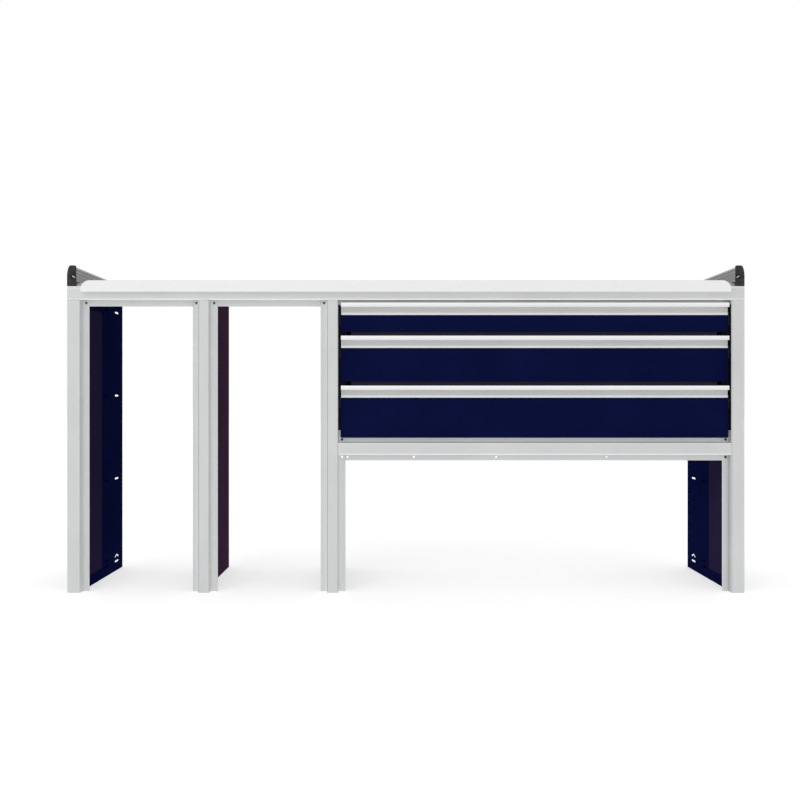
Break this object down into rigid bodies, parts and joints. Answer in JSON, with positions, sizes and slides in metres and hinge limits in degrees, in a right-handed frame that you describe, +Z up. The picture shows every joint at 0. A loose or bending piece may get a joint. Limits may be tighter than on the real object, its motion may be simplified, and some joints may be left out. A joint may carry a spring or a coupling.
{
  "type": "workbench with drawers",
  "caption": "Wide aluminium-framed workbench with a white top, low side galleries, open bays on the left and full-width drawers over a knee space on the right.",
  "frame": {"origin": "on the floor, at the middle of the whole bench's width and depth", "axes": "+X to the right along the bench, -Y out of the drawer fronts towards the user, +Z up"},
  "size_m": [2.0344, 0.42, 0.9833],
  "materials": {
    "anodised": "satin anodised, fine lengthwise brushing",
    "gallery_aluminium": "mid-grey anodised extrusion",
    "navy_sheet": "dark navy powder coat, fine texture",
    "divider_sheet": "dark brownish navy powder coat, fine texture",
    "worktop_white": "white laminate over board",
    "black_plastic": "moulded, satin black",
    "black_steel": "black powder coat",
    "zinc_steel": "bright zinc plate",
    "tray_grey": "light grey powder coat",
    "label_clear": "clear strip over a plain grey card",
    "screw_black": "black zinc"
  },
  "bodies": {
    "root": {"corner_screw_1": "screw_black", "corner_screw_2": "screw_black", "corner_screw_3": "screw_black", "corner_screw_4": "screw_black", "drawer_1_fixed_runner_left": "zinc_steel", "drawer_1_fixed_runner_right": "zinc_steel", "drawer_2_fixed_runner_left": "zinc_steel", "drawer_2_fixed_runner_right": "zinc_steel", "drawer_3_fixed_runner_left": "zinc_steel", "drawer_3_fixed_runner_right": "zinc_steel", "front_post_1": "anodised", "front_post_2": "anodised", "front_post_3": "anodised", "front_post_4": "anodised", "gallery_cap_front_left": "black_plastic", "gallery_cap_front_right": "black_plastic", "gallery_cap_rear_left": "black_plastic", "gallery_cap_rear_right": "black_plastic", "gallery_rail_left": "gallery_aluminium", "gallery_rail_right": "gallery_aluminium", "lower_front_rail": "anodised", "outer_cover_left": "navy_sheet", "outer_cover_right": "navy_sheet", "rear_panel": "navy_sheet", "runner_carrier_left": "black_steel", "runner_carrier_right": "black_steel", "side_panel_1": "navy_sheet", "side_panel_2": "divider_sheet", "side_panel_3": "divider_sheet", "side_panel_4": "navy_sheet", "top_front_rail": "anodised", "top_rear_rail": "anodised", "worktop": "worktop_white"},
    "drawer_1": {"drawer_1_box": "tray_grey", "drawer_1_drawer_runner_left": "zinc_steel", "drawer_1_drawer_runner_right": "zinc_steel", "drawer_1_front": "navy_sheet", "drawer_1_handle": "anodised", "drawer_1_label": "label_clear", "drawer_1_latch_bar": "black_plastic"},
    "drawer_1_runner": {"drawer_1_middle_runner_left": "zinc_steel", "drawer_1_middle_runner_right": "zinc_steel"},
    "drawer_2": {"drawer_2_box": "tray_grey", "drawer_2_drawer_runner_left": "zinc_steel", "drawer_2_drawer_runner_right": "zinc_steel", "drawer_2_front": "navy_sheet", "drawer_2_handle": "anodised", "drawer_2_label": "label_clear", "drawer_2_latch_bar": "black_plastic"},
    "drawer_2_runner": {"drawer_2_middle_runner_left": "zinc_steel", "drawer_2_middle_runner_right": "zinc_steel"},
    "drawer_3": {"drawer_3_box": "tray_grey", "drawer_3_drawer_runner_left": "zinc_steel", "drawer_3_drawer_runner_right": "zinc_steel", "drawer_3_front": "navy_sheet", "drawer_3_handle": "anodised", "drawer_3_label": "label_clear", "drawer_3_latch_bar": "black_plastic"},
    "drawer_3_runner": {"drawer_3_middle_runner_left": "zinc_steel", "drawer_3_middle_runner_right": "zinc_steel"}
  },
  "joints": [
    {"name": "drawer_1_slide", "type": "slide", "parent": "root", "child": "drawer_1", "axis": [0, -1, 0], "range_m": [0, 0.33]},
    {"name": "drawer_1_runner_slide", "type": "slide", "parent": "root", "child": "drawer_1_runner", "axis": [0, -1, 0], "range_m": [0, 0.165]},
    {"name": "drawer_2_slide", "type": "slide", "parent": "root", "child": "drawer_2", "axis": [0, -1, 0], "range_m": [0, 0.33]},
    {"name": "drawer_2_runner_slide", "type": "slide", "parent": "root", "child": "drawer_2_runner", "axis": [0, -1, 0], "range_m": [0, 0.165]},
    {"name": "drawer_3_slide", "type": "slide", "parent": "root", "child": "drawer_3", "axis": [0, -1, 0], "range_m": [0, 0.33]},
    {"name": "drawer_3_runner_slide", "type": "slide", "parent": "root", "child": "drawer_3_runner", "axis": [0, -1, 0], "range_m": [0, 0.165]}
  ],
  "couplings": [
    {"joint": "drawer_1_runner_slide", "follows": "drawer_1_slide", "ratio": 0.5},
    {"joint": "drawer_2_runner_slide", "follows": "drawer_2_slide", "ratio": 0.5},
    {"joint": "drawer_3_runner_slide", "follows": "drawer_3_slide", "ratio": 0.5}
  ]
}
